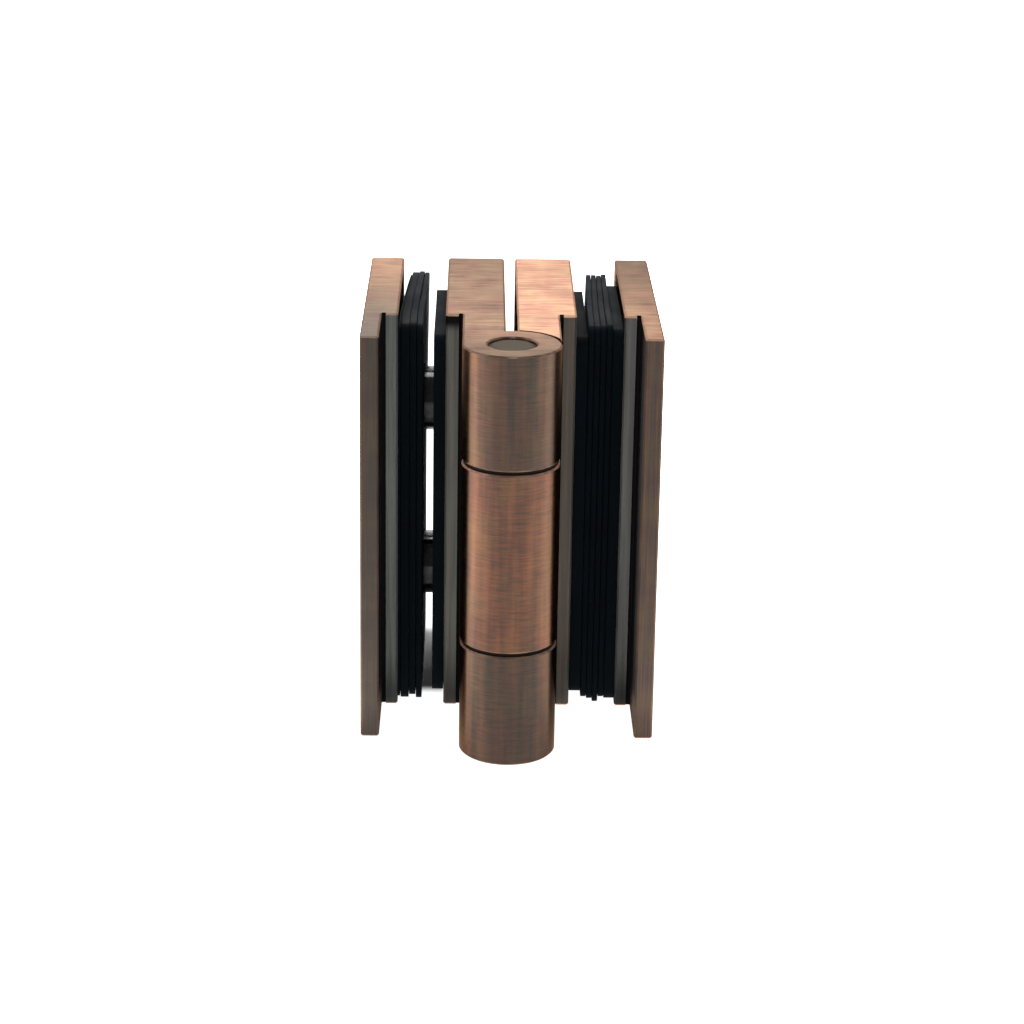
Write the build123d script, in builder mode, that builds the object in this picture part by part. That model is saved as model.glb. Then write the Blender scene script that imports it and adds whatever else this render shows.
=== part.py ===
from build123d import *
import os

# Folded glass to glass door hinge: two leaves of clamp plates joined by a three knuckle barrel.
# Frame: Z is the pin axis, the origin is the centre of the bottom face of the barrel,
# +Y runs from the barrel to the backs of the plates, and the left leaf is on the -X side.
# All sizes are in millimetres.

# Barrel and knuckles
hinge_height = 90.0
barrel_radius = 10.3
end_knuckle_length = 25.0
knuckle_groove = 0.8
knuckle_clearance = 0.45
knuckle_chamfer = 0.35

# Inner plates, which carry the knuckles
leaf_gap = 2.5
inner_plate_thickness = 12.75

# Cover plates, outside the glass
cover_plate_thickness = 7.5
cover_lip_thickness = 4.0
lip_front = 4.5
rebate_length = 18.3
clamp_depth = 51.0
corner_relief_width = 0.9
corner_relief_depth = 0.9
edge_break = 0.4

# Glass slot and its packing sheets
glass_slot = 10.2
sheet_corner_radius = 2.0
inner_sheet_thickness = 2.6
inner_sheet_top_gap = 4.8
inner_sheet_bottom_gap = 2.8
inner_sheet_back_gap = 9.0
sheet_hole_clearance = 0.3

# Pin, its bushes and washers
pin_radius = 5.2
pin_recess = 0.3
pin_end_chamfer_width = 1.2
pin_end_chamfer_height = 0.5
pin_floor = 4.0
bore_rim_chamfer = 0.3
bush_wall = 1.5
bush_running_clearance = 0.03
bush_length = 12.0
grease_relief = 0.4
washer_thickness = 0.7
washer_inset = 0.7
washer_bore_clearance = 0.05

# Clamp screws
screw_spacing = 39.0
screw_setback = 23.5
screw_radius = 2.5
screw_hole_clearance = 0.25
screw_head_radius = 5.0
screw_head_clearance = 0.15
screw_head_recess = 0.3
screw_thread_engagement = 5.0
screw_tip_room = 0.5
screw_tip_chamfer = 0.6
socket_across_flats = 3.0
socket_depth = 2.0
countersink_angle = 90.0

# Nylon bushes that keep the screws off the glass
glass_bush_radius = 7.2
glass_bush_rim_chamfer = 0.3
glass_bush_clearance = 0.05

# Packing sheets between the cover plate and the glass, from the cover plate inwards:
# thickness, gap below the plate tops, gap above the plate bottoms, gap before the plate backs
left_sheets = [
    (0.6, 2.9, 1.2, 2.4),
    (1.9, 2.5, 1.0, 1.8),
    (1.5, 2.3, 1.4, 1.2),
    (1.4, 2.6, 0.8, 1.6),
]
right_sheets = [
    (2.4, 3.1, 1.2, 9.5),
    (1.3, 2.2, 1.3, 2.4),
    (1.3, 2.3, 0.4, 3.6),
    (1.3, 2.4, 1.1, 3.4),
    (1.3, 2.3, 1.4, 2.6),
]

# Derived places
step_y = lip_front + rebate_length
back_y = step_y + clamp_depth
inner_face_x = leaf_gap / 2
slot_inner_x = inner_face_x + inner_plate_thickness
slot_outer_x = slot_inner_x + glass_slot
cover_outer_x = slot_outer_x + cover_plate_thickness
lip_inner_x = cover_outer_x - cover_lip_thickness
lower_division = end_knuckle_length
upper_division = hinge_height - end_knuckle_length
lower_knuckle_top = lower_division - knuckle_groove / 2
middle_knuckle_bottom = lower_division + knuckle_groove / 2
middle_knuckle_top = upper_division - knuckle_groove / 2
upper_knuckle_bottom = upper_division + knuckle_groove / 2
clear_radius = barrel_radius + knuckle_clearance
bush_bore_radius = pin_radius + bush_running_clearance
bush_outer_radius = pin_radius + bush_wall
relief_radius = pin_radius + grease_relief
screw_y = step_y + screw_setback
screw_heights = [(hinge_height - screw_spacing) / 2, (hinge_height + screw_spacing) / 2]
screw_names = ["lower", "upper"]
screw_head_height = screw_head_radius - screw_radius
screw_length = inner_plate_thickness - screw_head_recess + glass_slot + screw_thread_engagement
sink_radius = screw_head_radius + screw_head_recess + screw_head_clearance
sides = [("left", -1), ("right", 1)]

os.makedirs("parts", exist_ok=True)

# Left knuckle plate, with the lower and upper knuckles
with BuildPart() as left_knuckle_plate:
    with BuildSketch():
        with BuildLine():
            Polyline(
                (-slot_inner_x, step_y), (-slot_inner_x, back_y), (-inner_face_x, back_y),
                (-inner_face_x, 0), (-barrel_radius, 0), (-barrel_radius, step_y), close=True,
            )
        make_face()
    extrude(amount=hinge_height)
    # All edges are broken but those that end inside the barrel and the rebate's inside corner
    plate_edges = left_knuckle_plate.edges().filter_by(lambda e: e.center().Y > edge_break)
    rebate_corner = plate_edges.filter_by(Axis.Z).sort_by_distance((-barrel_radius, step_y, hinge_height / 2))[0]
    chamfer(plate_edges - [rebate_corner], edge_break)
    # Relief groove in the rebate's inside corner
    with BuildSketch():
        with Locations((-(barrel_radius + corner_relief_width / 2), step_y + corner_relief_depth / 2)):
            Rectangle(corner_relief_width, corner_relief_depth)
    extrude(amount=hinge_height, mode=Mode.SUBTRACT)
    with BuildSketch(Plane.XY.offset(lower_knuckle_top)):
        Circle(clear_radius)
    extrude(amount=upper_knuckle_bottom - lower_knuckle_top, mode=Mode.SUBTRACT)
    with BuildSketch(Plane.XZ):
        for low, high in [(0, lower_knuckle_top), (upper_knuckle_bottom, hinge_height)]:
            with BuildLine():
                Polyline(
                    (0, low), (barrel_radius - knuckle_chamfer, low), (barrel_radius, low + knuckle_chamfer),
                    (barrel_radius, high - knuckle_chamfer), (barrel_radius - knuckle_chamfer, high), (0, high),
                    close=True,
                )
            make_face()
    revolve(axis=Axis.Z)
    # Bore for the pin: through the upper knuckle, and blind in the lower one
    with BuildSketch(Plane.XZ):
        with BuildLine():
            Polyline(
                (0, pin_floor), (pin_radius, pin_floor), (pin_radius, hinge_height - bore_rim_chamfer),
                (pin_radius + bore_rim_chamfer, hinge_height), (0, hinge_height), close=True,
            )
        make_face()
    revolve(axis=Axis.Z, mode=Mode.SUBTRACT)
    for height in screw_heights:
        with Locations(Plane((-inner_face_x, screw_y, height), x_dir=(0, 1, 0), z_dir=(1, 0, 0)).location):
            CounterSinkHole(
                screw_radius + screw_hole_clearance, sink_radius,
                depth=inner_plate_thickness, counter_sink_angle=countersink_angle,
            )
left_knuckle_plate.part.label = "left_knuckle_plate"
export_step(left_knuckle_plate.part, "parts/left_knuckle_plate.step")

# Right knuckle plate, with the middle knuckle
with BuildPart() as right_knuckle_plate:
    with BuildSketch():
        with BuildLine():
            Polyline(
                (slot_inner_x, step_y), (slot_inner_x, back_y), (inner_face_x, back_y),
                (inner_face_x, 0), (barrel_radius, 0), (barrel_radius, step_y), close=True,
            )
        make_face()
    extrude(amount=hinge_height)
    plate_edges = right_knuckle_plate.edges().filter_by(lambda e: e.center().Y > edge_break)
    rebate_corner = plate_edges.filter_by(Axis.Z).sort_by_distance((barrel_radius, step_y, hinge_height / 2))[0]
    chamfer(plate_edges - [rebate_corner], edge_break)
    with BuildSketch():
        with Locations((barrel_radius + corner_relief_width / 2, step_y + corner_relief_depth / 2)):
            Rectangle(corner_relief_width, corner_relief_depth)
    extrude(amount=hinge_height, mode=Mode.SUBTRACT)
    # Concave clearance round the knuckles of the other leaf
    for low, high in [(0, middle_knuckle_bottom), (middle_knuckle_top, hinge_height)]:
        with BuildSketch(Plane.XY.offset(low)):
            Circle(clear_radius)
        extrude(amount=high - low, mode=Mode.SUBTRACT)
    with BuildSketch(Plane.XZ):
        with BuildLine():
            Polyline(
                (0, middle_knuckle_bottom), (barrel_radius - knuckle_chamfer, middle_knuckle_bottom),
                (barrel_radius, middle_knuckle_bottom + knuckle_chamfer),
                (barrel_radius, middle_knuckle_top - knuckle_chamfer),
                (barrel_radius - knuckle_chamfer, middle_knuckle_top), (0, middle_knuckle_top), close=True,
            )
        make_face()
    revolve(axis=Axis.Z)
    # Bore, wider at both ends for the bushes
    with BuildSketch(Plane.XY.offset(middle_knuckle_bottom)):
        Circle(relief_radius)
    extrude(amount=middle_knuckle_top - middle_knuckle_bottom, mode=Mode.SUBTRACT)
    for low in [middle_knuckle_bottom, middle_knuckle_top - bush_length]:
        with BuildSketch(Plane.XY.offset(low)):
            Circle(bush_outer_radius)
        extrude(amount=bush_length, mode=Mode.SUBTRACT)
    for height in screw_heights:
        with Locations(Plane((inner_face_x, screw_y, height), x_dir=(0, 1, 0), z_dir=(-1, 0, 0)).location):
            CounterSinkHole(
                screw_radius + screw_hole_clearance, sink_radius,
                depth=inner_plate_thickness, counter_sink_angle=countersink_angle,
            )
right_knuckle_plate.part.label = "right_knuckle_plate"
export_step(right_knuckle_plate.part, "parts/right_knuckle_plate.step")

# Cover plates, one on the outer side of each glass slot, with blind threaded holes
for side_name, side in sides:
    with BuildPart() as cover_plate:
        with BuildSketch():
            with BuildLine():
                Polyline(
                    (side * slot_outer_x, step_y), (side * slot_outer_x, back_y),
                    (side * cover_outer_x, back_y), (side * cover_outer_x, lip_front),
                    (side * lip_inner_x, lip_front), (side * lip_inner_x, step_y), close=True,
                )
            make_face()
        extrude(amount=hinge_height)
        upright_edges = cover_plate.edges().filter_by(Axis.Z)
        rebate_corner = upright_edges.sort_by_distance((side * lip_inner_x, step_y, hinge_height / 2))[0]
        chamfer(cover_plate.edges() - [rebate_corner], edge_break)
        with BuildSketch():
            relief_x = lip_inner_x - corner_relief_width / 2
            with Locations((side * relief_x, step_y + corner_relief_depth / 2)):
                Rectangle(corner_relief_width, corner_relief_depth)
        extrude(amount=hinge_height, mode=Mode.SUBTRACT)
        for height in screw_heights:
            with BuildSketch(Plane((side * slot_outer_x, screw_y, height), x_dir=(0, 1, 0), z_dir=(side, 0, 0))):
                Circle(screw_radius)
            extrude(amount=screw_thread_engagement + screw_tip_room, mode=Mode.SUBTRACT)
    cover_plate.part.label = side_name + "_cover_plate"
    export_step(cover_plate.part, "parts/" + side_name + "_cover_plate.step")

# Packing sheets between the glass and the plates, with holes for the glass bushes
for side_name, side, sheets in [("left", -1, left_sheets), ("right", 1, right_sheets)]:
    sheet_rows = []
    outer_face = slot_outer_x
    for number, (thickness, top_gap, bottom_gap, back_gap) in enumerate(sheets, start=1):
        outer_face = outer_face - thickness
        sheet_rows.append(("outer_gasket_" + str(number), outer_face, thickness, top_gap, bottom_gap, back_gap))
    sheet_rows.append((
        "inner_gasket", slot_inner_x, inner_sheet_thickness,
        inner_sheet_top_gap, inner_sheet_bottom_gap, inner_sheet_back_gap,
    ))
    for sheet_name, near_x, thickness, top_gap, bottom_gap, back_gap in sheet_rows:
        sheet_depth = clamp_depth - back_gap
        sheet_height = hinge_height - top_gap - bottom_gap
        with BuildPart() as gasket:
            with BuildSketch(Plane((side * near_x, 0, 0), x_dir=(0, side, 0), z_dir=(side, 0, 0))):
                with Locations((side * (step_y + sheet_depth / 2), bottom_gap + sheet_height / 2)):
                    RectangleRounded(sheet_depth, sheet_height, sheet_corner_radius)
                for height in screw_heights:
                    with Locations((side * screw_y, height)):
                        Circle(glass_bush_radius + sheet_hole_clearance, mode=Mode.SUBTRACT)
            extrude(amount=thickness)
        gasket.part.label = side_name + "_" + sheet_name
        export_step(gasket.part, "parts/" + side_name + "_" + sheet_name + ".step")

# Clamp screws, countersunk in the inner faces, and the bushes round them in the glass slots
for side_name, side in sides:
    for screw_name, height in zip(screw_names, screw_heights):
        head_x = inner_face_x + screw_head_recess
        with BuildPart() as screw:
            with BuildSketch(Plane((0, screw_y, height), x_dir=(side, 0, 0), z_dir=(0, -side, 0))):
                with BuildLine():
                    Polyline(
                        (head_x, 0), (head_x, screw_head_radius), (head_x + screw_head_height, screw_radius),
                        (head_x + screw_length - screw_tip_chamfer, screw_radius),
                        (head_x + screw_length, screw_radius - screw_tip_chamfer),
                        (head_x + screw_length, 0), close=True,
                    )
                make_face()
            revolve(axis=Axis((0, screw_y, height), (1, 0, 0)))
            with BuildSketch(Plane((side * head_x, screw_y, height), x_dir=(0, 1, 0), z_dir=(side, 0, 0))):
                RegularPolygon(socket_across_flats / 2, 6, major_radius=False)
            extrude(amount=socket_depth, mode=Mode.SUBTRACT)
        screw.part.label = side_name + "_clamp_screw_" + screw_name
        export_step(screw.part, "parts/" + side_name + "_clamp_screw_" + screw_name + ".step")

        with BuildPart() as glass_bush:
            with BuildSketch(Plane((side * slot_inner_x, screw_y, height), x_dir=(0, 1, 0), z_dir=(side, 0, 0))):
                Circle(glass_bush_radius)
            extrude(amount=glass_slot)
            chamfer(glass_bush.edges(), glass_bush_rim_chamfer)
            with BuildSketch(Plane((side * slot_inner_x, screw_y, height), x_dir=(0, 1, 0), z_dir=(side, 0, 0))):
                Circle(screw_radius + glass_bush_clearance)
            extrude(amount=glass_slot, mode=Mode.SUBTRACT)
        glass_bush.part.label = side_name + "_glass_bush_" + screw_name
        export_step(glass_bush.part, "parts/" + side_name + "_glass_bush_" + screw_name + ".step")

# Hinge pin, held in the left leaf and turning in the bushes of the right one
with BuildPart() as hinge_pin:
    with BuildSketch(Plane.XZ):
        with BuildLine():
            pin_top = hinge_height - pin_recess
            Polyline(
                (0, pin_floor), (pin_radius - edge_break, pin_floor), (pin_radius, pin_floor + edge_break),
                (pin_radius, pin_top - pin_end_chamfer_height),
                (pin_radius - pin_end_chamfer_width, pin_top), (0, pin_top), close=True,
            )
        make_face()
    revolve(axis=Axis.Z)
hinge_pin.part.label = "hinge_pin"
export_step(hinge_pin.part, "parts/hinge_pin.step")

# Bushes in both ends of the middle knuckle
for bush_name, low in [("lower", middle_knuckle_bottom), ("upper", middle_knuckle_top - bush_length)]:
    with BuildPart() as pivot_bush:
        with BuildSketch(Plane.XY.offset(low)):
            Circle(bush_outer_radius)
            Circle(bush_bore_radius, mode=Mode.SUBTRACT)
        extrude(amount=bush_length)
    pivot_bush.part.label = "pivot_bush_" + bush_name
    export_step(pivot_bush.part, "parts/pivot_bush_" + bush_name + ".step")

# Thrust washers in the grooves between the knuckles, seated on the left leaf
for washer_name, low in [("lower", lower_knuckle_top), ("upper", upper_knuckle_bottom - washer_thickness)]:
    with BuildPart() as thrust_washer:
        with BuildSketch(Plane.XY.offset(low)):
            Circle(barrel_radius - washer_inset)
            Circle(pin_radius + washer_bore_clearance, mode=Mode.SUBTRACT)
        extrude(amount=washer_thickness)
    thrust_washer.part.label = "thrust_washer_" + washer_name
    export_step(thrust_washer.part, "parts/thrust_washer_" + washer_name + ".step")
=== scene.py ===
import math

import bpy
from bpy.props import FloatProperty, FloatVectorProperty, IntProperty, PointerProperty
from bpy.types import Operator, Panel, PropertyGroup
from mathutils import Matrix, Vector, noise


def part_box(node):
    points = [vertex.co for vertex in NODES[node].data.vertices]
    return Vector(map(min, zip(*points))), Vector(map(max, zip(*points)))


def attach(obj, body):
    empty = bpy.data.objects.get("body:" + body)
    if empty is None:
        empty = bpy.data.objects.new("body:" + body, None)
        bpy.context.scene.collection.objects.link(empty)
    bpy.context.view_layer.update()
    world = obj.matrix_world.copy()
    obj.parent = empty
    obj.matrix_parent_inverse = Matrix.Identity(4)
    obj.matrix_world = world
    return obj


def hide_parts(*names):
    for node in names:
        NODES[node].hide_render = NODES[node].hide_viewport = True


bl_info = {
    "name": "Glass Door Hinge",
    "version": (1, 0, 0),
    "blender": (4, 5, 0),
    "location": "3D View > Sidebar > Hinge",
    "description": "Finishes a folded glass to glass hinge and lights it on a pale floor",
    "category": "Object",
}

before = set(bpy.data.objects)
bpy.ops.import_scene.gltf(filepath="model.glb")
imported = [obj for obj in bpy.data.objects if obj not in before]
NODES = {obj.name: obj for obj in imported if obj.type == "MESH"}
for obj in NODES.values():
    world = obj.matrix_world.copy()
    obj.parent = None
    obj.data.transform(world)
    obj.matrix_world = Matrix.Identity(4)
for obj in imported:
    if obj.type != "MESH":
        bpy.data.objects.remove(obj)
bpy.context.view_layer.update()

LEAF = {"left": "left_leaf", "right": "right_leaf"}
SHEETS = sorted(name for name in NODES if "gasket" in name)
SCREWS = sorted(name for name in NODES if "clamp_screw" in name)
GLASS_BUSHES = sorted(name for name in NODES if "glass_bush" in name)
PIVOT_BUSHES = sorted(name for name in NODES if "pivot_bush" in name)
WASHERS = sorted(name for name in NODES if "thrust_washer" in name)

MM = 0.001

# Places read from the frame, in metres
BARREL_RADIUS = -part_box("left_knuckle_plate")[0].y
STEP_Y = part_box("left_inner_gasket")[0].y
LIP_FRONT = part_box("left_cover_plate")[0].y
COVER_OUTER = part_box("right_cover_plate")[1].x
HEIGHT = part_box("left_knuckle_plate")[1].z
BACK_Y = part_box("left_knuckle_plate")[1].y

# Limits for merging points, joining flat faces and shading smooth
MERGE_DISTANCE = 0.001 * MM
FLAT_ANGLE = math.radians(0.5)
SMOOTH_ANGLE = math.radians(40)

# Length and width of the brush strokes on each kind of face, and how strongly they stand out
STROKES = {
    "top": (8.5 * MM, 0.95 * MM, 3.7),
    "barrel": (4.5 * MM, 0.36 * MM, 3.2),
    "sides": (16.0 * MM, 0.35 * MM, 4.8),
}
# Noise of the strokes: its frequency along and across them, its detail, and the layer it is taken from
STROKE_NOISES = {"Fine": (1.0, 1.0, 3.0, 13.0), "Broad": (0.4, 0.3, 2.0, 17.0)}
# Noise of the columns round the barrel and of the clouds: scale along each axis, and detail
PATCH_NOISES = {
    "Column": ((0.45 / MM, 0.03 / MM, 29.0), 2.0),
    "Cloud": ((0.16 / MM, 0.09 / MM, 5.0), 3.0),
}
# Span of a noise's values that holds most of it
NOISE_SPAN = (0.3, 0.7)

# Finish of each plate. Top front, top back, barrel and sides are the share of bright copper there, and
# barrel left is added to it at the barrel's left side as a painted highlight, a painted shade where it is
# below zero. Top shade and foot put painted shade on the step of the rebate at its top and at its foot, pale
# lip pales the patina at the front, tinted wall greys the front of the rebate's wall in place of its painted
# shade, and step is the colour of the plating on the step.
FINISHES = {
    "left_knuckle_plate": {
        "top front": 0.215, "top back": 0.165, "barrel": 0.10, "barrel left": 0.15, "sides": 0.08,
        "top shade": 1.0, "foot": 0.7, "pale lip": 0.0, "worn wall": 0.0, "step": (0.150, 0.145, 0.125),
    },
    "right_knuckle_plate": {
        "top front": 0.57, "top back": 0.47, "barrel": 0.29, "barrel left": -0.07, "sides": 0.12,
        "top shade": 0.0, "foot": 0.35, "pale lip": 0.0, "worn wall": 0.0, "step": (0.132, 0.112, 0.095),
    },
    "left_cover_plate": {
        "top front": 0.045, "top back": 0.34, "barrel": 0.06, "barrel left": 0.0, "sides": 0.025,
        "top shade": 0.0, "foot": 0.75, "pale lip": 1.0, "worn wall": 0.0, "step": (0.178, 0.190, 0.176),
    },
    "right_cover_plate": {
        "top front": 0.37, "top back": 0.11, "barrel": 0.08, "barrel left": 0.0, "sides": 0.08,
        "top shade": 0.0, "foot": 0.85, "pale lip": 0.0, "worn wall": 1.0, "step": (0.165, 0.165, 0.160),
    },
}

# How far the back top corner of each stack of outer sheets leans outwards,
# at the stack's inner face and at the cover plate
SHEET_LEAN = {"left": (-0.55 * MM, -1.6 * MM), "right": (0.9 * MM, 0.0)}

# Area lights: place, width and height. They all point at the same place.
LIGHTS = {
    "back_light": ((0.0, 1.5, 0.85), 2.4, 1.3),
    "top_light": ((0.0, 0.43, 1.3), 0.25, 0.5),
    "left_light": ((-0.7, -0.1, 0.7), 0.7, 0.5),
    "right_light": ((0.7, -0.1, 0.7), 0.7, 0.5),
}
LIGHT_TARGET = (0, 0.03, 0.05)


class HingeSizes(PropertyGroup):
    """Small sizes of the dressed hinge."""

    lip_thickness: FloatProperty(
        name="Lip thickness", description="Thickness of the cover plates' front lips",
        default=4.0 * MM, unit="LENGTH", precision=4)
    sheet_gap: FloatProperty(
        name="Sheet gap", description="Gap that shows between one packing sheet and the next",
        default=0.12 * MM, unit="LENGTH", precision=5)
    sheet_edge: FloatProperty(
        name="Sheet edge", description="Radius of the soft edge of a packing sheet",
        default=0.2 * MM, unit="LENGTH", precision=5)
    sheet_wave: FloatProperty(
        name="Sheet wave", description="How far a cut edge of a sheet wanders from straight",
        default=0.35 * MM, unit="LENGTH", precision=5)
    thread_pitch: FloatProperty(
        name="Thread pitch", description="Pitch of the clamp screws' thread",
        default=0.8 * MM, unit="LENGTH", precision=5)
    thread_depth: FloatProperty(
        name="Thread depth", description="Depth of the clamp screws' thread",
        default=0.42 * MM, unit="LENGTH", precision=5)
    thread_steps: IntProperty(
        name="Thread steps", description="Steps in one turn of the thread", default=32)


class HingeColours(PropertyGroup):
    """Colours of the finishes."""

    copper: FloatVectorProperty(
        name="Copper", description="Brushed copper where it is rubbed bright",
        subtype="COLOR", size=3, default=(0.50, 0.20, 0.11))
    polished: FloatVectorProperty(
        name="Polished copper", description="Paler copper on the brushed tops",
        subtype="COLOR", size=3, default=(0.75, 0.425, 0.30))
    patina: FloatVectorProperty(
        name="Patina", description="Darkened copper between the brush lines",
        subtype="COLOR", size=3, default=(0.078, 0.069, 0.061))
    pale_patina: FloatVectorProperty(
        name="Pale patina", description="Patina worn pale at the left lip",
        subtype="COLOR", size=3, default=(0.118, 0.115, 0.110))
    # Painted shade: the rebates' side walls are painted near black, as the shade inside the rebates
    recess_shade: FloatVectorProperty(
        name="Recess side", description="Darkened side walls of the rebates",
        subtype="COLOR", size=3, default=(0.010, 0.010, 0.011))
    tinted_wall: FloatVectorProperty(
        name="Tinted wall", description="Front part of a rebate wall that is worn grey",
        subtype="COLOR", size=3, default=(0.080, 0.080, 0.082))
    pin: FloatVectorProperty(
        name="Pin", description="Turned end of the pin",
        subtype="COLOR", size=3, default=(0.125, 0.105, 0.084))
    rubber: FloatVectorProperty(
        name="Rubber", description="Sheet rubber",
        subtype="COLOR", size=3, default=(0.0022, 0.0034, 0.0052))
    screw: FloatVectorProperty(
        name="Screw", description="Blackened screw steel",
        subtype="COLOR", size=3, default=(0.05, 0.05, 0.052))
    nylon: FloatVectorProperty(
        name="Black nylon", description="Moulded bushes and washers",
        subtype="COLOR", size=3, default=(0.003, 0.004, 0.006))
    colouring: FloatVectorProperty(
        name="Brown nylon", description="Thrust washers, brown with old grease",
        subtype="COLOR", size=3, default=(0.010, 0.0055, 0.004))
    bearing: FloatVectorProperty(
        name="Bearing nylon", description="Bushes in the middle knuckle",
        subtype="COLOR", size=3, default=(0.62, 0.60, 0.55))
    floor: FloatVectorProperty(
        name="Floor", description="Pale studio floor",
        subtype="COLOR", size=3, default=(0.86, 0.86, 0.86))


class HingeStage(PropertyGroup):
    """Camera and light."""

    lens: FloatProperty(
        name="Lens", description="Focal length of the camera in millimetres", default=96.8)
    pitch: FloatProperty(
        name="Pitch", description="How far the camera looks down",
        default=math.radians(18.91), subtype="ANGLE")
    yaw: FloatProperty(
        name="Yaw", description="How far the camera is turned to the right",
        default=math.radians(0.82), subtype="ANGLE")
    roll: FloatProperty(
        name="Roll", description="How far the camera is rolled",
        default=math.radians(0.88), subtype="ANGLE")
    camera_place: FloatVectorProperty(
        name="Camera place", description="Where the camera stands",
        size=3, subtype="TRANSLATION", default=(-7.395 * MM, -546.07 * MM, 240.53 * MM))
    back_light: FloatProperty(
        name="Back light", description="Power of the wide light behind, in watts", default=19.5)
    side_light: FloatProperty(
        name="Side lights", description="Power of each side light, in watts", default=2.0)
    top_light: FloatProperty(
        name="Top light", description="Power of the overhead light, in watts", default=4.0)
    ambient: FloatProperty(
        name="Ambient", description="Strength of the even light all round", default=0.35)
    floor_glow: FloatProperty(
        name="Floor glow", description="Light from the table under the hinge", default=1.0)
    left_glow: FloatProperty(
        name="Left glow", description="Extra light from the table on the left", default=3.0)
    right_glow: FloatProperty(
        name="Right glow", description="Extra light from the table on the right", default=1.9)


# Small helpers for meshes and nodes

def sizes():
    return bpy.context.scene.hinge_sizes


def colours():
    return bpy.context.scene.hinge_colours


def select_only(obj):
    """Leaves one object selected and active."""
    bpy.ops.object.select_all(action="DESELECT")
    obj.select_set(True)
    bpy.context.view_layer.objects.active = obj


def copy_of_node(node_name, piece_name):
    """A merged copy of a CAD node's mesh as a new object at the origin."""
    mesh = NODES[node_name].data.copy()
    piece = bpy.data.objects.new(piece_name, mesh)
    bpy.context.scene.collection.objects.link(piece)
    select_only(piece)
    bpy.ops.object.mode_set(mode="EDIT")
    bpy.ops.mesh.select_all(action="SELECT")
    bpy.ops.mesh.remove_doubles(threshold=MERGE_DISTANCE)
    bpy.ops.mesh.dissolve_limited(angle_limit=FLAT_ANGLE)
    bpy.ops.object.mode_set(mode="OBJECT")
    return piece


def shade_by_angle(piece):
    select_only(piece)
    bpy.ops.object.shade_smooth_by_angle(angle=SMOOTH_ANGLE)


def cut_into_bands(piece, low, high, count, axis):
    """Adds edge rings across a piece, so that it can bend between them."""
    select_only(piece)
    normal = [0, 0, 0]
    normal[axis] = 1
    bpy.ops.object.mode_set(mode="EDIT")
    for step in range(1, count):
        point = [0, 0, 0]
        point[axis] = low + (high - low) * step / count
        bpy.ops.mesh.select_all(action="SELECT")
        bpy.ops.mesh.bisect(plane_co=point, plane_no=normal)
    bpy.ops.object.mode_set(mode="OBJECT")


def set_material(obj, material):
    obj.data.materials.clear()
    obj.data.materials.append(material)


def seat(piece, node_name, material):
    """Gives a piece its finish and body, and hides the CAD node that it stands for."""
    set_material(piece, material)
    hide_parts(node_name)
    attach(piece, LEAF[node_name.split("_")[0]])


def feed(tree, sockets, values):
    """Links or sets each input socket of a node."""
    for name, value in values.items():
        if isinstance(value, bpy.types.NodeSocket):
            tree.links.new(value, sockets[name])
        else:
            sockets[name].default_value = value


def add_node(tree, kind, inputs=None, **settings):
    """Adds a shader node, with its settings and its linked or plain inputs."""
    new = tree.nodes.new(kind)
    for name, value in settings.items():
        setattr(new, name, value)
    feed(tree, new.inputs, inputs or {})
    return new


def calc(tree, operation, first, second=0.0, third=0.0, clamp=False):
    """A math node's output."""
    inputs = {0: first, 1: second, 2: third}
    return add_node(tree, "ShaderNodeMath", inputs, operation=operation, use_clamp=clamp).outputs[0]


def weighted_sum(tree, *pairs):
    """The sum of values or masks, each times its weight."""
    total = 0.0
    for value, weight in pairs:
        total = calc(tree, "MULTIPLY_ADD", value, weight, total)
    return total


def mask_product(tree, *masks):
    """All the masks multiplied together."""
    product = masks[0]
    for mask in masks[1:]:
        product = calc(tree, "MULTIPLY", product, mask)
    return product


def blend_colour(tree, factor, first, second, mode="MIX"):
    new = add_node(tree, "ShaderNodeMix", data_type="RGBA", blend_type=mode)
    factor_input, first_input, second_input, colour_output = 0, 6, 7, 2
    feed(tree, new.inputs, {factor_input: factor, first_input: first, second_input: second})
    return new.outputs[colour_output]


def ramp(tree, value, low, high, start=0.0, end=1.0):
    """Maps a value to a smooth step between two limits."""
    new = add_node(tree, "ShaderNodeMapRange", {
        "Value": value, "From Min": low, "From Max": high, "To Min": start, "To Max": end,
    }, interpolation_type="SMOOTHSTEP")
    return new.outputs["Result"]


def plain_noise(tree, vector, scale, detail, roughness=0.5):
    """Noise with one scale along all axes."""
    new = add_node(tree, "ShaderNodeTexNoise", {
        "Vector": vector, "Scale": scale, "Detail": detail, "Roughness": roughness,
    })
    return new.outputs["Fac"]


def stretched_noise(tree, vector, scale, detail=2.0, roughness=0.55):
    """Noise with its own scale along each axis."""
    scaled_vector = add_node(tree, "ShaderNodeVectorMath", {0: vector, 1: scale}, operation="MULTIPLY")
    return plain_noise(tree, scaled_vector.outputs[0], 1.0, detail, roughness)


def four(colour):
    return (colour[0], colour[1], colour[2], 1.0)


def scaled(colour, factor):
    """A colour made darker or lighter, with alpha."""
    return four([min(1.0, value * factor) for value in colour])


def set_bump(tree, shader, height, strength, distance):
    """Lets a noise raise the surface a little."""
    bump = add_node(tree, "ShaderNodeBump", {"Height": height, "Strength": strength, "Distance": distance})
    tree.links.new(bump.outputs[0], shader.inputs["Normal"])


def new_group(name, inputs, outputs):
    """An empty shader group with named sockets, and its input and output nodes."""
    group = bpy.data.node_groups.new(name, "ShaderNodeTree")
    for kind, label, value in inputs:
        socket = group.interface.new_socket(label, in_out="INPUT", socket_type=kind)
        if value is not None:
            socket.default_value = value
    for kind, label in outputs:
        group.interface.new_socket(label, in_out="OUTPUT", socket_type=kind)
    return group, group.nodes.new("NodeGroupInput"), group.nodes.new("NodeGroupOutput")


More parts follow.
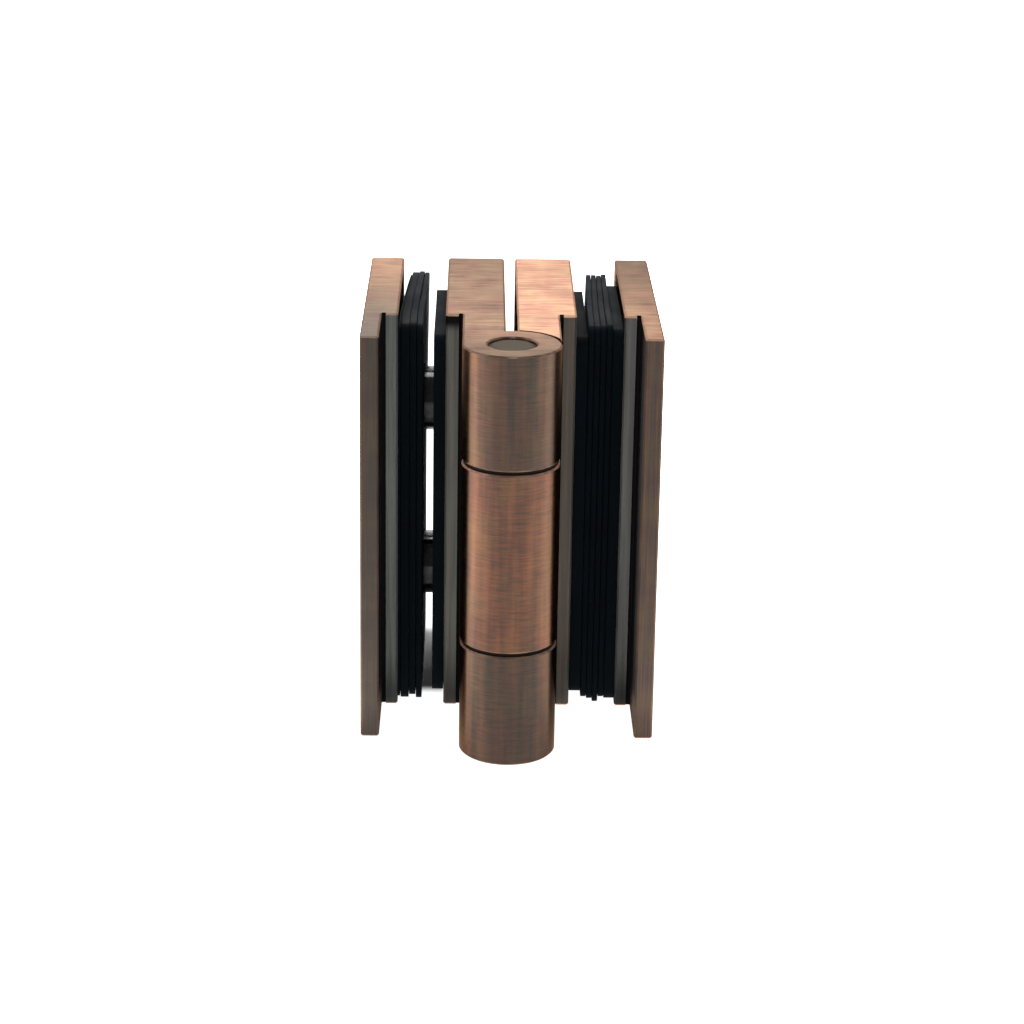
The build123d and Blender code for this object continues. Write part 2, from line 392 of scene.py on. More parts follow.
def group_node(tree, name, inputs):
    new = tree.nodes.new("ShaderNodeGroup")
    new.node_tree = bpy.data.node_groups[name]
    feed(tree, new.inputs, inputs)
    return new


def new_material(name):
    """A material with only its shader and output."""
    material = bpy.data.materials.new(name)
    material.use_nodes = True
    tree = material.node_tree
    return material, tree, tree.nodes["Principled BSDF"]


# Brushed copper

def build_face_sorter():
    """Group that tells which way a surface faces and gives coordinates along its brush lines."""
    top_limit, round_limit, straight_limit = 0.5, 1.004, 0.9
    cone_low, cone_high = 0.3, 0.95
    group, given, out = new_group(
        "Face Sorter", [("NodeSocketFloat", "Barrel Radius", BARREL_RADIUS)],
        [("NodeSocketVector", "Lines"), ("NodeSocketFloat", "Top"), ("NodeSocketFloat", "Barrel"),
         ("NodeSocketFloat", "Broken Edge"), ("NodeSocketVector", "Grain Tangent")])
    coords = add_node(group, "ShaderNodeTexCoord")
    place = add_node(group, "ShaderNodeSeparateXYZ", {0: coords.outputs["Object"]})
    facing = add_node(group, "ShaderNodeSeparateXYZ", {0: coords.outputs["Normal"]})
    x, y, z = place.outputs
    across_x, across_y, upward = [calc(group, "ABSOLUTE", part) for part in facing.outputs]
    top = calc(group, "GREATER_THAN", upward, top_limit)
    radius = calc(group, "SQRT", weighted_sum(group, (x, x), (y, y)))
    inside = calc(group, "LESS_THAN", radius, calc(group, "MULTIPLY", given.outputs[0], round_limit))
    upright = calc(group, "SUBTRACT", 1.0, top)
    barrel = calc(group, "MULTIPLY", inside, upright)
    side = calc(group, "SUBTRACT", upright, barrel)
    angle = calc(group, "ARCTAN2", x, calc(group, "MULTIPLY", y, -1.0))
    round_the_barrel = calc(group, "MULTIPLY", angle, given.outputs[0])
    along = weighted_sum(group, (top, x), (barrel, round_the_barrel), (side, z))
    over = weighted_sum(group, (top, y), (barrel, z), (side, calc(group, "ADD", x, y)))
    layer = weighted_sum(group, (top, 1.0), (barrel, 2.0))
    lines = add_node(group, "ShaderNodeCombineXYZ", {0: along, 1: over, 2: layer})
    largest = calc(group, "MAXIMUM", across_x, calc(group, "MAXIMUM", across_y, upward))
    slanted = mask_product(group, calc(group, "LESS_THAN", largest, straight_limit), side)
    cone = mask_product(
        group, calc(group, "GREATER_THAN", upward, cone_low), calc(group, "LESS_THAN", upward, cone_high))
    tangent = add_node(group, "ShaderNodeCombineXYZ", {
        0: calc(group, "MULTIPLY", side, facing.outputs[1]),
        1: calc(group, "SUBTRACT", top, calc(group, "MULTIPLY", side, facing.outputs[0])),
        2: barrel,
    })
    turned = add_node(group, "ShaderNodeVectorTransform", {0: tangent.outputs[0]},
                      vector_type="VECTOR", convert_from="OBJECT", convert_to="WORLD")
    feed(group, out.inputs, {
        "Lines": lines.outputs[0], "Top": top, "Barrel": barrel,
        "Broken Edge": calc(group, "MAXIMUM", slanted, cone), "Grain Tangent": turned.outputs[0]})


def build_brush_lines():
    """Group with the fine strokes, broad strokes, columns and clouds of a brushed finish."""
    stroke_roughness, fine_height, broad_height = 0.6, 0.7, 0.3
    default_length, default_width = STROKES["barrel"][:2]
    group, given, out = new_group(
        "Brush Lines",
        [("NodeSocketVector", "Lines", None), ("NodeSocketFloat", "Stroke Length", default_length),
         ("NodeSocketFloat", "Line Width", default_width)],
        [("NodeSocketFloat", "Fine"), ("NodeSocketFloat", "Broad"), ("NodeSocketFloat", "Column"),
         ("NodeSocketFloat", "Cloud"), ("NodeSocketFloat", "Height")])
    lines, length, width = given.outputs[0], given.outputs[1], given.outputs[2]
    values = {}
    for label, (along, over, detail, layer) in STROKE_NOISES.items():
        scale = add_node(group, "ShaderNodeCombineXYZ", {
            0: calc(group, "DIVIDE", along, length), 1: calc(group, "DIVIDE", over, width), 2: layer})
        values[label] = stretched_noise(group, lines, scale.outputs[0], detail, stroke_roughness)
    for label, (scale, detail) in PATCH_NOISES.items():
        values[label] = stretched_noise(group, lines, scale, detail)
    values["Height"] = weighted_sum(group, (values["Fine"], fine_height), (values["Broad"], broad_height))
    feed(group, out.inputs, values)


def rebate_masks(tree, place, facing):
    """Masks of the rebates' walls, and of the step faces at their ends."""
    barrel_margin, lip_margin, front_margin = 0.03 * MM, 0.05 * MM, 0.5 * MM
    groove_reach, step_front, step_back = 1.2 * MM, 0.1 * MM, 0.5 * MM
    upward_limit, frontal_limit = 0.3, 0.5
    x, y = place.outputs[:2]
    from_middle = calc(tree, "ABSOLUTE", x)
    lip_inner = COVER_OUTER - sizes().lip_thickness
    recess = mask_product(
        tree,
        calc(tree, "GREATER_THAN", from_middle, BARREL_RADIUS - barrel_margin),
        calc(tree, "LESS_THAN", from_middle, lip_inner + lip_margin),
        calc(tree, "LESS_THAN", y, STEP_Y + groove_reach),
        calc(tree, "GREATER_THAN", y, front_margin),
        calc(tree, "LESS_THAN", calc(tree, "ABSOLUTE", facing.outputs[2]), upward_limit))
    frontal = calc(tree, "GREATER_THAN", calc(tree, "MULTIPLY", facing.outputs[1], -1.0), frontal_limit)
    on_step = mask_product(
        tree, frontal,
        calc(tree, "GREATER_THAN", y, STEP_Y - step_front), calc(tree, "LESS_THAN", y, STEP_Y + step_back))
    return recess, on_step


def rebate_colour(tree, finish, on_step, broad, y, z):
    """Walls of a rebate in painted shade, and the plating with streaks on its step, darkened by painted
    shade at its top and its foot.
    """
    palette = colours()
    dark_streak, light_streak, streak_span = 0.85, 1.15, (0.35, 0.65)
    # Heights over which the painted shade on the step comes in at its top and at its foot
    top_shade_low, top_shade_high = HEIGHT - 4.2 * MM, HEIGHT - 1.6 * MM
    foot_low, foot_high = 1.0 * MM, 15.0 * MM
    # Depths over which the front of a rebate wall turns grey, and how much of the grey is left at the floor
    tinted_low, tinted_high = STEP_Y - 12.0 * MM, STEP_Y - 6.5 * MM
    tinted_at_floor = 0.3
    streaked_and_shaded = blend_colour(tree, ramp(tree, broad, *streak_span), scaled(finish["step"], dark_streak),
                            scaled(finish["step"], light_streak))
    # Painted shade on the step: it turns to the walls' painted shade colour towards its top and towards its
    # foot
    step_shade = ramp(tree, z, top_shade_low, top_shade_high, 0.0, finish["top shade"])
    step_shade = calc(tree, "MAXIMUM", step_shade, ramp(tree, z, foot_low, foot_high, finish["foot"], 0.0))
    streaked_and_shaded = blend_colour(tree, step_shade, streaked_and_shaded, four(palette.recess_shade))
    # The front of the wall turns from its painted shade to grey, less so near the floor
    tinted = ramp(tree, y, tinted_low, tinted_high, finish["worn wall"], 0.0)
    tinted = calc(tree, "MULTIPLY", tinted, ramp(tree, z, 0.0, foot_high, tinted_at_floor, 1.0))
    wall = blend_colour(tree, tinted, four(palette.recess_shade), four(palette.tinted_wall))
    return blend_colour(tree, on_step, wall, streaked_and_shaded)


def rubbed_share_with_painted_light(tree, finish, brush, masks, place, contrast):
    """How bright the copper is rubbed: a share for each kind of face, uneven along the brush lines, with a
    painted highlight down the barrel's left side (a painted shade where barrel left is below zero).
    """
    fine_weight, broad_weight, cloud_weight, column_weight = 0.50, 0.20, 0.22, 0.50
    lines_middle, least_unevenness = 0.46, 0.14
    barrel_top_share, edge_share = 0.45, 0.10
    # Where the painted highlight down the barrel's left side has faded out
    barrel_left_end = -0.25 * BARREL_RADIUS
    top, barrel, side, edge = masks
    x, y = place.outputs[:2]
    fine, broad, column, cloud = [brush.outputs[label] for label in ("Fine", "Broad", "Column", "Cloud")]
    on_tops = ramp(tree, y, LIP_FRONT, BACK_Y, finish["top front"], finish["top back"])
    behind_barrel = ramp(tree, y, -BARREL_RADIUS, BARREL_RADIUS, barrel_top_share, 1.0)
    on_tops = calc(tree, "MULTIPLY", on_tops, behind_barrel)
    # Painted highlight down the barrel's left side where barrel left is above zero, painted shade there
    # where it is below zero
    on_barrel = ramp(tree, x, -BARREL_RADIUS, barrel_left_end,
                     finish["barrel"] + finish["barrel left"], finish["barrel"])
    share = weighted_sum(
        tree, (top, on_tops), (barrel, on_barrel), (side, finish["sides"]), (edge, edge_share))
    lines = weighted_sum(tree, (fine, fine_weight), (broad, broad_weight), (cloud, cloud_weight))
    banded = calc(tree, "MULTIPLY", barrel, calc(tree, "SUBTRACT", column, 0.5))
    lines = weighted_sum(tree, (lines, 1.0), (banded, column_weight))
    unevenness = calc(tree, "MULTIPLY", calc(tree, "SUBTRACT", lines, lines_middle), contrast)
    reach = calc(tree, "ADD", share, least_unevenness)
    return calc(tree, "MULTIPLY_ADD", reach, unevenness, share, clamp=True)


def copper_material(name, finish):
    """Brushed antique copper, rubbed bright by a share of its own on each kind of face, with a painted
    highlight on the barrel's left side and painted shade on upright faces, on the barrel's groove rims and
    in the rebates.
    """
    rosy, gilt = (1.06, 0.96, 0.98, 1.0), (0.94, 1.04, 0.95, 1.0)
    # Painted shade: how far upright faces are mixed towards black at the foot and near the top, and how
    # nearly black the barrel's groove rims are
    foot_shade, upper_shade, shade_height = 0.14, 0.32, HEIGHT * 0.8
    rim_shade, rim_low, rim_high = 0.95, HEIGHT * 0.1, HEIGHT * 0.9
    smoothest, roughness_spread = 0.36, 0.10
    bump_strength, bump_depth = 0.35, 0.02 * MM
    palette = colours()
    material, tree, shader = new_material(name)
    sorter = group_node(tree, "Face Sorter", {"Barrel Radius": BARREL_RADIUS})
    top, barrel, edge = [sorter.outputs[label] for label in ("Top", "Barrel", "Broken Edge")]
    side = calc(tree, "SUBTRACT", 1.0, calc(tree, "ADD", top, barrel))
    faces = (("top", top), ("barrel", barrel), ("sides", side))
    length, width, contrast = [
        weighted_sum(tree, *[(mask, STROKES[kind][part]) for kind, mask in faces]) for part in range(3)]
    brush = group_node(tree, "Brush Lines", {
        "Lines": sorter.outputs["Lines"], "Stroke Length": length, "Line Width": width})
    coords = add_node(tree, "ShaderNodeTexCoord")
    place = add_node(tree, "ShaderNodeSeparateXYZ", {0: coords.outputs["Object"]})
    facing = add_node(tree, "ShaderNodeSeparateXYZ", {0: coords.outputs["Normal"]})
    y, z = place.outputs[1:]
    recess, on_step = rebate_masks(tree, place, facing)

    # Rims of the grooves round the barrel, which get painted shade in place of a bright edge
    groove_rim = mask_product(
        tree, edge, calc(tree, "GREATER_THAN", z, rim_low), calc(tree, "LESS_THAN", z, rim_high), barrel)
    masks = (top, barrel, side, calc(tree, "SUBTRACT", edge, groove_rim))
    # The rubbed share also carries the painted highlight on the barrel's left side
    rubbed = rubbed_share_with_painted_light(tree, finish, brush, masks, place, contrast)
    bright = blend_colour(tree, top, four(palette.copper), four(palette.polished))
    pale = calc(tree, "MULTIPLY", top, ramp(tree, y, LIP_FRONT, BACK_Y, finish["pale lip"], 0.0))
    patina = blend_colour(tree, pale, four(palette.patina), four(palette.pale_patina))
    toned_and_shaded = blend_colour(tree, rubbed, patina, bright)
    hue = blend_colour(tree, ramp(tree, brush.outputs["Cloud"], *NOISE_SPAN), rosy, gilt)
    toned_and_shaded = blend_colour(tree, 1.0, toned_and_shaded, hue, mode="MULTIPLY")
    # Painted shade: upright faces darker towards the top, and the barrel's groove rims nearly black
    painted_side_shade = calc(tree, "MULTIPLY", side, ramp(tree, z, 0.0, shade_height, foot_shade, upper_shade))
    painted_shade = calc(tree, "MAXIMUM", painted_side_shade, calc(tree, "MULTIPLY", groove_rim, rim_shade))
    toned_and_shaded = blend_colour(tree, painted_shade, toned_and_shaded, (0.0, 0.0, 0.0, 1.0))
    # Faces in the rebate, off the barrel, take the rebate's colours: the walls' painted shade and the step's
    # plating
    off_barrel = calc(tree, "MULTIPLY", recess, calc(tree, "SUBTRACT", 1.0, barrel))
    in_rebate = rebate_colour(tree, finish, on_step, brush.outputs["Broad"], y, z)
    tree.links.new(blend_colour(tree, off_barrel, toned_and_shaded, in_rebate), shader.inputs["Base Color"])

    rough = calc(tree, "ADD", smoothest, calc(tree, "MULTIPLY", brush.outputs["Fine"], roughness_spread))
    tree.links.new(rough, shader.inputs["Roughness"])
    set_bump(tree, shader, brush.outputs["Height"], bump_strength, bump_depth)
    tree.links.new(sorter.outputs["Grain Tangent"], shader.inputs["Tangent"])
    shader.inputs["Metallic"].default_value = 1.0
    shader.inputs["Specular Tint"].default_value = (0.95, 0.72, 0.58, 1.0)
    shader.inputs["Anisotropic"].default_value = 1.0
    return material


# The other finishes

def steel_material(name, colour, roughness, ring_width, edge_tint):
    """Turned steel, with fine rings round the pin axis on its end."""
    ring_detail, stain_scale, stain_detail, roughness_spread = 2.0, 420.0, 3.0, 0.1
    ring_weight, stain_weight, dark_tone, light_tone = 0.6, 0.4, 0.88, 1.1
    bump_strength, bump_depth = 0.3, 0.02 * MM
    material, tree, shader = new_material(name)
    coords = add_node(tree, "ShaderNodeTexCoord").outputs["Object"]
    flat = add_node(tree, "ShaderNodeVectorMath", {0: coords, 1: (1.0, 1.0, 0.0)}, operation="MULTIPLY")
    radius = add_node(tree, "ShaderNodeVectorMath", {0: flat.outputs[0]}, operation="LENGTH")
    rings = add_node(tree, "ShaderNodeTexNoise", {
        "W": calc(tree, "DIVIDE", radius.outputs["Value"], ring_width), "Scale": 1.0, "Detail": ring_detail,
    }, noise_dimensions="1D").outputs["Fac"]
    stain = plain_noise(tree, coords, stain_scale, stain_detail)
    tone = weighted_sum(tree, (rings, ring_weight), (stain, stain_weight))
    shaded = blend_colour(tree, ramp(tree, tone, *NOISE_SPAN), scaled(colour, dark_tone),
                          scaled(colour, light_tone))
    tree.links.new(shaded, shader.inputs["Base Color"])
    rough = calc(tree, "ADD", roughness, calc(tree, "MULTIPLY", stain, roughness_spread))
    tree.links.new(rough, shader.inputs["Roughness"])
    set_bump(tree, shader, rings, bump_strength, bump_depth)
    shader.inputs["Metallic"].default_value = 1.0
    shader.inputs["Specular Tint"].default_value = (edge_tint, edge_tint, edge_tint, 1.0)
    return material


def rubber_material():
    """Matt sheet rubber with a bloom in patches, a few specks of dust and a fine calendered grain."""
    bloom_scale, bloom_detail, bloom_roughness, bloom_span = 95.0, 4.0, 0.6, (0.35, 0.7)
    grain_scale, grain_detail = 3800.0, 2.0
    speck_scale, speck_detail, speck_span, speck_strength = 1500.0, 1.0, (0.74, 0.8), 0.3
    dust = (0.04, 0.04, 0.04, 1.0)
    dark_tone, light_tone = 0.7, 1.7
    gloss_span, smoothest, roughest = (0.2, 0.8), 0.72, 0.88
    bump_strength, bump_depth = 0.4, 0.015 * MM
    rubber = colours().rubber
    material, tree, shader = new_material("sheet_rubber")
    coords = add_node(tree, "ShaderNodeTexCoord").outputs["Object"]
    bloom = plain_noise(tree, coords, bloom_scale, bloom_detail, bloom_roughness)
    grain = plain_noise(tree, coords, grain_scale, grain_detail)
    tone = blend_colour(tree, ramp(tree, bloom, *bloom_span), scaled(rubber, dark_tone),
                        scaled(rubber, light_tone))
    specks = stretched_noise(tree, coords, (speck_scale, speck_scale, speck_scale), speck_detail)
    specks = ramp(tree, specks, *speck_span)
    dusty = blend_colour(tree, calc(tree, "MULTIPLY", specks, speck_strength), tone, dust)
    tree.links.new(dusty, shader.inputs["Base Color"])
    tree.links.new(ramp(tree, bloom, *gloss_span, smoothest, roughest), shader.inputs["Roughness"])
    set_bump(tree, shader, grain, bump_strength, bump_depth)
    shader.inputs["Specular IOR Level"].default_value = 0.14
    shader.inputs["Specular Tint"].default_value = (0.62, 0.86, 1.0, 1.0)
    return material


def moulded_material(name, colour, roughness, gloss):
    """Moulded plastic with a faint mottled skin."""
    skin_scale, skin_detail, dark_tone, light_tone = 900.0, 3.0, 0.85, 1.15
    gloss_span, smoother, rougher = (0.2, 0.8), 0.05, 0.1
    bump_strength, bump_depth = 0.25, 0.02 * MM
    material, tree, shader = new_material(name)
    coords = add_node(tree, "ShaderNodeTexCoord").outputs["Object"]
    skin = plain_noise(tree, coords, skin_scale, skin_detail)
    tone = blend_colour(tree, skin, scaled(colour, dark_tone), scaled(colour, light_tone))
    tree.links.new(tone, shader.inputs["Base Color"])
    rough = ramp(tree, skin, *gloss_span, roughness - smoother, roughness + rougher)
    tree.links.new(rough, shader.inputs["Roughness"])
    set_bump(tree, shader, skin, bump_strength, bump_depth)
    shader.inputs["Specular IOR Level"].default_value = gloss
    return material


class HINGE_OT_plates(Operator):
    """Finish the knuckle plates and cover plates in brushed copper"""

    bl_idname = "hinge.plates"
    bl_label = "Brushed plates"

    def execute(self, context):
        build_face_sorter()
        build_brush_lines()
        for node_name, finish in FINISHES.items():
            set_material(NODES[node_name], copper_material("copper_" + node_name, finish))
        return {"FINISHED"}


class HINGE_OT_barrel_parts(Operator):
    """Finish the pin, its bushes and the washers between the knuckles"""

    bl_idname = "hinge.barrel_parts"
    bl_label = "Pin, bushes and washers"

    def execute(self, context):
        palette = colours()
        turned = steel_material(
            "turned_pin_steel", palette.pin, roughness=0.5, ring_width=0.16 * MM, edge_tint=0.4)
        bearing = moulded_material("bearing_nylon", palette.bearing, roughness=0.4, gloss=0.5)
        nylon = moulded_material("black_nylon", palette.nylon, roughness=0.12, gloss=0.35)
        brown_nylon = moulded_material("dark_brown_nylon", palette.colouring, roughness=0.7, gloss=0.1)
        for material, node_names in (
                (turned, ["hinge_pin"]), (bearing, PIVOT_BUSHES), (nylon, GLASS_BUSHES), (brown_nylon, WASHERS)):
            for node_name in node_names:
                set_material(NODES[node_name], material)
        return {"FINISHED"}


class HINGE_OT_sheets(Operator):
    """Make the rubber packing sheets, with soft edges that wander as cut rubber does"""

    bl_idname = "hinge.sheets"
    bl_label = "Packing sheets"

    def execute(self, context):
        largest_edge_share = 0.3
        rubber = rubber_material()
        for number, node_name in enumerate(SHEETS):
            low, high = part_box(node_name)
            piece = copy_of_node(node_name, "rubber_" + node_name)
            cut_into_bands(piece, low.z, high.z, count=16, axis=2)
            cut_into_bands(piece, low.y, high.y, count=12, axis=1)
            self.shape(piece.data, low, high, number)
            if "outer" in node_name:
                self.lean(piece.data, node_name.split("_")[0])
            bevel = piece.modifiers.new("soft edge", "BEVEL")
            bevel.width = min(sizes().sheet_edge, (high.x - low.x) * largest_edge_share)
            bevel.segments = 2
            bevel.limit_method = "ANGLE"
            bevel.angle_limit = math.radians(50)
            select_only(piece)
            bpy.ops.object.modifier_apply(modifier=bevel.name)
            shade_by_angle(piece)
            seat(piece, node_name, rubber)
        return {"FINISHED"}

    def shape(self, mesh, low, high, number):
        """Thins the sheet a little and lets its outer edges wander."""
        waves_along, waves_up, shift_per_sheet = 90, 60, 3.7
        mean_inward, edge_zone, upright_share = 0.5, 0.93, 0.6
        middle = (low + high) / 2
        thin = 1 - sizes().sheet_gap / (high.x - low.x)
        for vertex in mesh.vertices:
            co = vertex.co
            reach_y = abs(co.y - middle.y) / (high.y - middle.y)
            reach_z = abs(co.z - middle.z) / (high.z - middle.z)
            wander = noise.noise(Vector((co.y * waves_along, co.z * waves_up, number * shift_per_sheet)))
            inward = sizes().sheet_wave * max(0.0, mean_inward + wander)
            co.x = middle.x + (co.x - middle.x) * thin
            if reach_z > edge_zone:
                co.z -= math.copysign(inward, co.z - middle.z)
            if reach_y > edge_zone:
                co.y -= math.copysign(inward * upright_share, co.y - middle.y)

    def lean(self, mesh, side):
        """Lets the stack of outer sheets lean sideways towards its top back corner."""
        low_end, rise_span, front_end, curve = 0.55, 0.4, 0.25, 1.2
        stack = [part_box(name) for name in SHEETS if name.startswith(side + "_outer")]
        wall = max(max(abs(low.x), abs(high.x)) for low, high in stack)
        face = min(min(abs(low.x), abs(high.x)) for low, high in stack)
        back = max(high.y for low, high in stack)
        at_face, at_wall = SHEET_LEAN[side]
        sign = -1 if side == "left" else 1
        for vertex in mesh.vertices:
            depth = (vertex.co.y - STEP_Y) / (back - STEP_Y)
            rise = max(0.0, vertex.co.z / HEIGHT - low_end) / rise_span
            bend = rise * max(0.0, (depth - front_end) / (1 - front_end)) ** curve
            share = (abs(vertex.co.x) - face) / (wall - face)
            vertex.co.x += sign * bend * (at_face + (at_wall - at_face) * share)


class HINGE_OT_screws(Operator):
    """Wind a rolled thread round the clamp screws"""

    bl_idname = "hinge.screws"
    bl_label = "Clamp screws"

    def execute(self, context):
        steel = steel_material(
            "black_screw_steel", colours().screw, roughness=0.42, ring_width=0.3 * MM, edge_tint=0.8)
        for node_name in SCREWS:
            low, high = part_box(node_name)
            centre = (low + high) / 2
            side = 1 if centre.x > 0 else -1
            tip = high.x if side > 0 else low.x
            piece = copy_of_node(node_name, "threaded_" + node_name)
            shank = self.shank_radius(piece.data, centre, tip)
            self.turn_down(piece.data, centre, shank)
            thread = self.thread(centre, side, tip, high.x - low.x, shank)
            select_only(piece)
            thread.select_set(True)
            bpy.ops.object.join()
            shade_by_angle(piece)
            seat(piece, node_name, steel)
        return {"FINISHED"}

    def shank_radius(self, mesh, centre, tip):
        """Radius of the shank, read a little behind the screw's tip."""
        nearest, farthest = 0.4 * MM, 4 * MM
        reach = [math.hypot(v.co.y - centre.y, v.co.z - centre.z) for v in mesh.vertices
                 if nearest < abs(v.co.x - tip) < farthest]
        return max(reach)

    def turn_down(self, mesh, centre, shank):
        """Brings the shank down to the root of the thread."""
        tolerance = 0.01 * MM
        root = shank - sizes().thread_depth
        for vertex in mesh.vertices:
            y, z = vertex.co.y - centre.y, vertex.co.z - centre.z
            radius = math.hypot(y, z)
            if abs(radius - shank) < tolerance:
                vertex.co.y = centre.y + y * root / radius
                vertex.co.z = centre.z + z * root / radius

    def thread(self, centre, side, tip, length, shank):
        """One closed ridge wound along the shank from behind the head to the tip."""
        pitch, depth = sizes().thread_pitch, sizes().thread_depth
        plain_length, tip_length, overlap = 7.0 * MM, 0.8 * MM, 0.1 * MM
        foot, crest = 0.46, 0.08
        turns = int((length - plain_length) / pitch)
        start = tip - side * (turns * pitch + tip_length)
        sunk = shank - depth - overlap
        bpy.ops.mesh.primitive_circle_add(vertices=4, radius=pitch / 2, fill_type="NOTHING")
        ridge = bpy.context.object
        outline = ((-foot, sunk), (-crest, shank), (crest, shank), (foot, sunk))
        for vertex, (along, radius) in zip(ridge.data.vertices, outline):
            vertex.co = (start + along * pitch, centre.y, centre.z + radius)
        screw = ridge.modifiers.new("thread", "SCREW")
        screw.axis = "X"
        screw.steps = screw.render_steps = sizes().thread_steps
        screw.iterations = turns
        screw.screw_offset = side * pitch
        screw.use_merge_vertices = False
        for vertex in ridge.data.vertices:
            vertex.co -= Vector((0, centre.y, centre.z))
        select_only(ridge)
        bpy.ops.object.modifier_apply(modifier=screw.name)
        bpy.ops.object.mode_set(mode="EDIT")
        bpy.ops.mesh.select_all(action="SELECT")
        bpy.ops.mesh.remove_doubles(threshold=MERGE_DISTANCE / 2)
        bpy.ops.mesh.fill_holes(sides=4)
        bpy.ops.mesh.normals_make_consistent(inside=False)
        bpy.ops.object.mode_set(mode="OBJECT")
        for vertex in ridge.data.vertices:
            vertex.co += Vector((0, centre.y, centre.z))
        return ridge


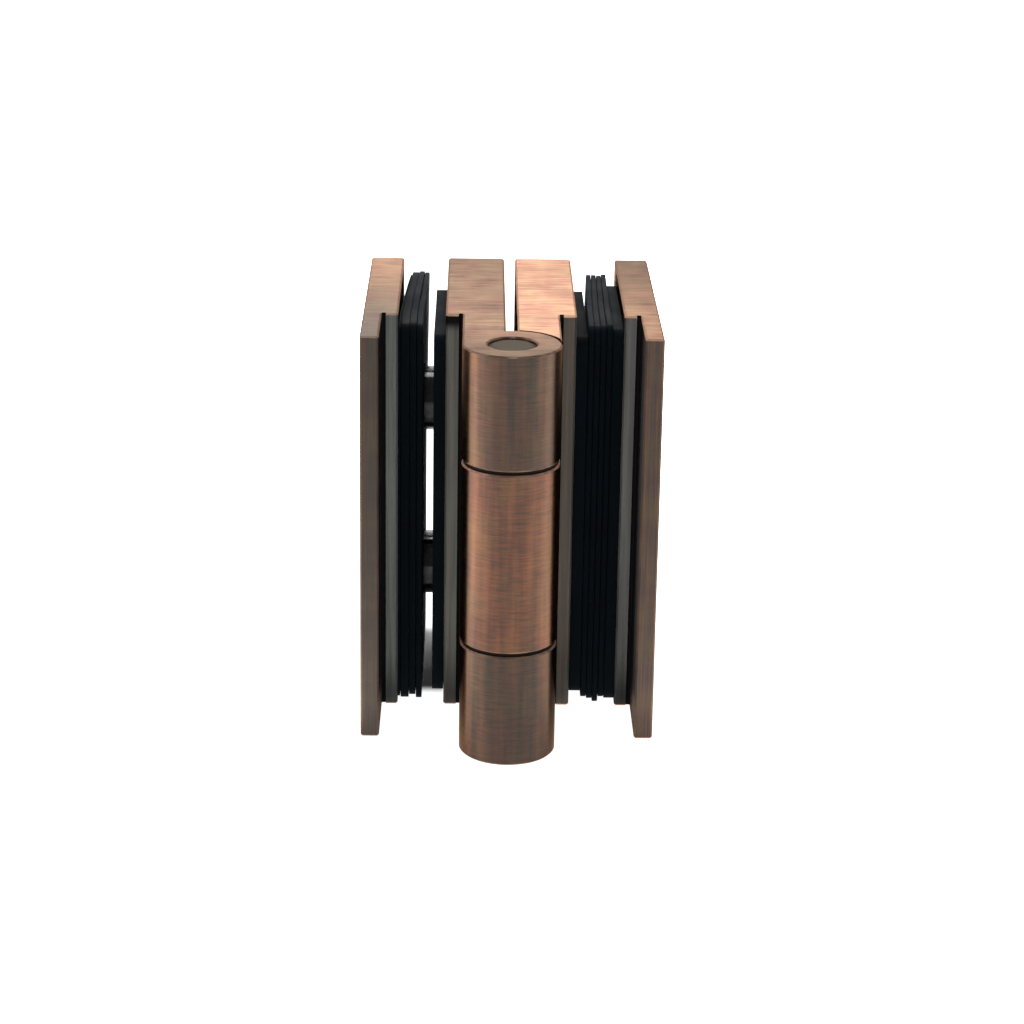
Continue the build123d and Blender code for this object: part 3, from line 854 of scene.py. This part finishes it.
class HINGE_OT_stage(Operator):
    """Lay the floor, set the lights and place the camera"""

    bl_idname = "hinge.stage"
    bl_label = "Floor, lights and camera"

    def execute(self, context):
        self.floor(context)
        self.lights(context.scene)
        self.camera(context.scene)
        context.scene.view_settings.view_transform = "Standard"
        context.scene.view_settings.look = "None"
        return {"FINISHED"}

    def floor(self, context):
        bpy.ops.object.select_all(action="DESELECT")
        bpy.ops.mesh.primitive_plane_add(size=9.0, location=(0, 1.5, 0))
        floor = bpy.context.object
        floor.name = "floor"
        bpy.ops.object.transform_apply(location=True, rotation=False, scale=False)
        material, tree, shader = new_material("pale_floor")
        shader.inputs["Base Color"].default_value = four(colours().floor)
        shader.inputs["Roughness"].default_value = 0.75
        shader.inputs["Specular IOR Level"].default_value = 0.2
        shader.inputs["Emission Color"].default_value = (1.0, 1.0, 1.0, 1.0)
        tree.links.new(self.glow(tree, context.scene.hinge_stage), shader.inputs["Emission Strength"])
        set_material(floor, material)

    def glow(self, tree, stage):
        """Glow of the floor: stronger on both sides, and none deep in the left glass slot."""
        wall_fade, side_fade, back_fade = 0.5 * MM, 15.0 * MM, 8.0 * MM
        slot_start, slot_full = STEP_Y + 6.0 * MM, STEP_Y + 11.0 * MM
        sides_start, sides_full = -60.0 * MM, 30.0 * MM
        coords = add_node(tree, "ShaderNodeTexCoord")
        place = add_node(tree, "ShaderNodeSeparateXYZ", {0: coords.outputs["Object"]})
        x, y = place.outputs[:2]
        slot_outer, slot_inner = [corner.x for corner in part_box("left_glass_bush_lower")]
        in_slot = mask_product(
            tree,
            ramp(tree, x, slot_outer, slot_outer + wall_fade),
            ramp(tree, x, slot_inner - wall_fade, slot_inner, 1.0, 0.0),
            ramp(tree, y, slot_start, slot_full),
            ramp(tree, y, BACK_Y - back_fade, BACK_Y, 1.0, 0.0))
        beside = ramp(tree, y, sides_start, sides_full)
        left = ramp(tree, x, -COVER_OUTER - side_fade, -COVER_OUTER, stage.left_glow, 0.0)
        right = ramp(tree, x, COVER_OUTER, COVER_OUTER + side_fade, 0.0, stage.right_glow)
        base = calc(tree, "MULTIPLY", calc(tree, "SUBTRACT", 1.0, in_slot), stage.floor_glow)
        return calc(tree, "MULTIPLY_ADD", beside, calc(tree, "ADD", left, right), base)

    def area_light(self, name, place, width, height, power):
        data = bpy.data.lights.new(name, "AREA")
        data.shape = "RECTANGLE"
        data.size, data.size_y = width, height
        data.energy = power
        lamp = bpy.data.objects.new(name, data)
        lamp.location = place
        lamp.rotation_euler = (Vector(LIGHT_TARGET) - Vector(place)).to_track_quat("-Z", "Y").to_euler()
        bpy.context.scene.collection.objects.link(lamp)

    def lights(self, scene):
        right_share = 0.5
        stage = scene.hinge_stage
        powers = {
            "back_light": stage.back_light, "top_light": stage.top_light,
            "left_light": stage.side_light, "right_light": stage.side_light * right_share,
        }
        for name, (place, width, height) in LIGHTS.items():
            self.area_light(name, place, width, height, powers[name])
        world = bpy.data.worlds.new("studio")
        scene.world = world
        world.use_nodes = True
        background = world.node_tree.nodes["Background"]
        background.inputs["Color"].default_value = (1.0, 1.0, 1.0, 1.0)
        background.inputs["Strength"].default_value = stage.ambient

    def camera(self, scene):
        stage = scene.hinge_stage
        data = bpy.data.cameras.new("camera")
        data.lens = stage.lens
        data.sensor_width = 36.0
        data.clip_start, data.clip_end = 0.01, 20.0
        camera = bpy.data.objects.new("camera", data)
        turn = Matrix.Rotation(-stage.yaw, 4, "Z") @ Matrix.Rotation(math.pi / 2 - stage.pitch, 4, "X")
        roll = Matrix.Rotation(stage.roll, 4, "Z")
        camera.matrix_world = Matrix.Translation(stage.camera_place) @ turn @ roll
        scene.collection.objects.link(camera)
        scene.camera = camera


class HINGE_PT_panel(Panel):
    """Steps of the hinge, in order"""

    bl_idname = "HINGE_PT_panel"
    bl_label = "Glass Door Hinge"
    bl_space_type = "VIEW_3D"
    bl_region_type = "UI"
    bl_category = "Hinge"

    def draw(self, context):
        for operator in OPERATORS:
            self.layout.operator(operator.bl_idname)
        for group in (context.scene.hinge_sizes, context.scene.hinge_colours, context.scene.hinge_stage):
            box = self.layout.box()
            for name in group.__annotations__:
                box.prop(group, name)


OPERATORS = (HINGE_OT_plates, HINGE_OT_barrel_parts, HINGE_OT_sheets, HINGE_OT_screws, HINGE_OT_stage)
GROUPS = (("hinge_sizes", HingeSizes), ("hinge_colours", HingeColours), ("hinge_stage", HingeStage))


def register():
    for name, group in GROUPS:
        bpy.utils.register_class(group)
        setattr(bpy.types.Scene, name, PointerProperty(type=group))
    for operator in OPERATORS:
        bpy.utils.register_class(operator)
    bpy.utils.register_class(HINGE_PT_panel)


def unregister():
    bpy.utils.unregister_class(HINGE_PT_panel)
    for operator in reversed(OPERATORS):
        bpy.utils.unregister_class(operator)
    for name, group in reversed(GROUPS):
        delattr(bpy.types.Scene, name)
        bpy.utils.unregister_class(group)


def main():
    register()
    bpy.ops.hinge.plates()
    bpy.ops.hinge.barrel_parts()
    bpy.ops.hinge.sheets()
    bpy.ops.hinge.screws()
    bpy.ops.hinge.stage()


if __name__ == "__main__":
    main()
